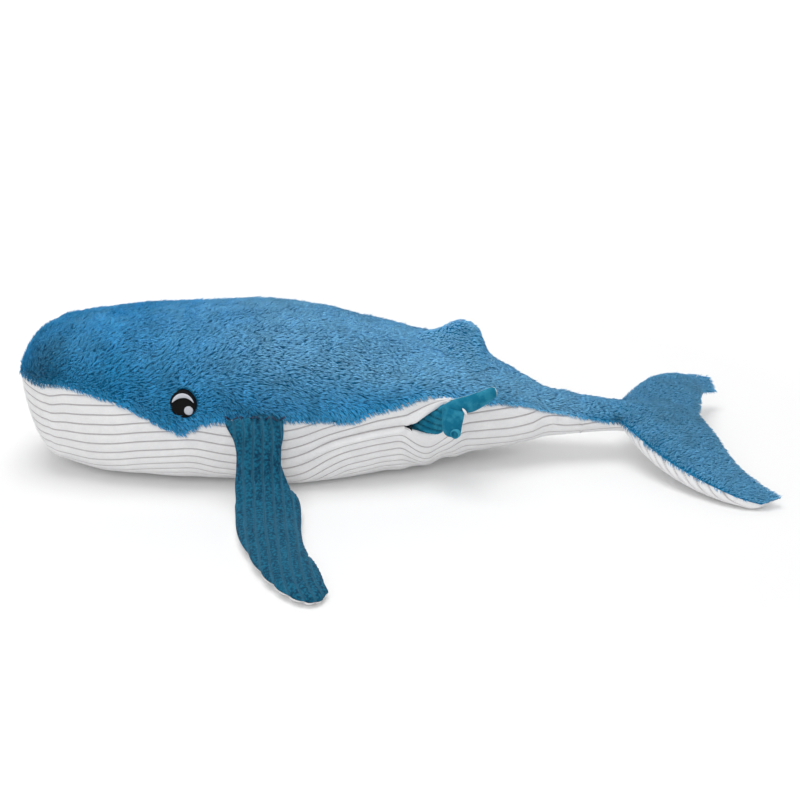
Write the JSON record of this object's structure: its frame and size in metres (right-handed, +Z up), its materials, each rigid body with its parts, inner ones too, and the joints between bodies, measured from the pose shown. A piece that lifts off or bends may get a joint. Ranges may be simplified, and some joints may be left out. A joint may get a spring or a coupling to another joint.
{
  "type": "plush whale",
  "caption": "Large plush whale lying on its belly, with a ribbed corduroy belly and flippers, a bending tail and a baby whale that slides out of a pocket in its side.",
  "frame": {"origin": "on the table, under the middle of the toy's overall length and width", "axes": "+X from the nose to the flukes, +Y to the whale's right side, +Z up"},
  "size_m": [0.736, 0.6674, 0.1631],
  "materials": {
    "blue_plush": "matte",
    "white_corduroy": "matte",
    "teal_corduroy": "matte",
    "teal_velour": "matte",
    "fibre_fill": "matte",
    "lining_cloth": "matte",
    "black_thread": "satin",
    "pale_thread": "satin"
  },
  "bodies": {
    "body": {"back_cover_left": "blue_plush", "back_cover_right": "blue_plush", "belly_cover": "white_corduroy", "body_stuffing": "fibre_fill", "pocket_lining": "lining_cloth", "dorsal_fin": "blue_plush", "left_eye_disc": "black_thread", "left_eye_crescent": "pale_thread", "left_eye_glint": "pale_thread", "right_eye_disc": "black_thread", "right_eye_crescent": "pale_thread", "right_eye_glint": "pale_thread"},
    "left_flipper": {"left_flipper_top_cover": "teal_corduroy", "left_flipper_under_cover": "white_corduroy", "left_flipper_stuffing": "fibre_fill"},
    "right_flipper": {"right_flipper_top_cover": "teal_corduroy", "right_flipper_under_cover": "white_corduroy", "right_flipper_stuffing": "fibre_fill"},
    "tail": {"tail_back_cover": "blue_plush", "tail_belly_cover": "white_corduroy", "tail_stuffing": "fibre_fill"},
    "flukes": {"fluke_top_cover": "blue_plush", "fluke_under_cover": "white_corduroy", "fluke_stuffing": "fibre_fill"},
    "baby": {"baby_back_cover": "teal_velour", "baby_belly_cover": "white_corduroy", "baby_stuffing": "fibre_fill", "baby_fluke_top_cover": "teal_velour", "baby_fluke_under_cover": "white_corduroy", "baby_fluke_stuffing": "fibre_fill"}
  },
  "joints": [
    {"name": "left_flipper_root", "type": "hinge", "parent": "body", "child": "left_flipper", "pos_m": [-0.127, -0.1049, 0.077], "axis": [-1, 0, 0], "range_deg": [0, 90]},
    {"name": "right_flipper_root", "type": "hinge", "parent": "body", "child": "right_flipper", "pos_m": [-0.127, 0.1049, 0.077], "axis": [1, 0, 0], "range_deg": [0, 90]},
    {"name": "tail_bend", "type": "hinge", "parent": "body", "child": "tail", "pos_m": [0.159, 0, 0.0456], "axis": [0, -1, 0], "range_deg": [-15, 15], "stiffness_Nm_per_rad": 1},
    {"name": "fluke_hinge", "type": "hinge", "parent": "tail", "child": "flukes", "pos_m": [0.219, 0, 0.0418], "axis": [0, -1, 0], "range_deg": [-22, 22], "stiffness_Nm_per_rad": 0.3},
    {"name": "baby_slide", "type": "slide", "parent": "body", "child": "baby", "axis": [0.8754, -0.4082, 0.2588], "range_m": [0, 0.15]}
  ]
}
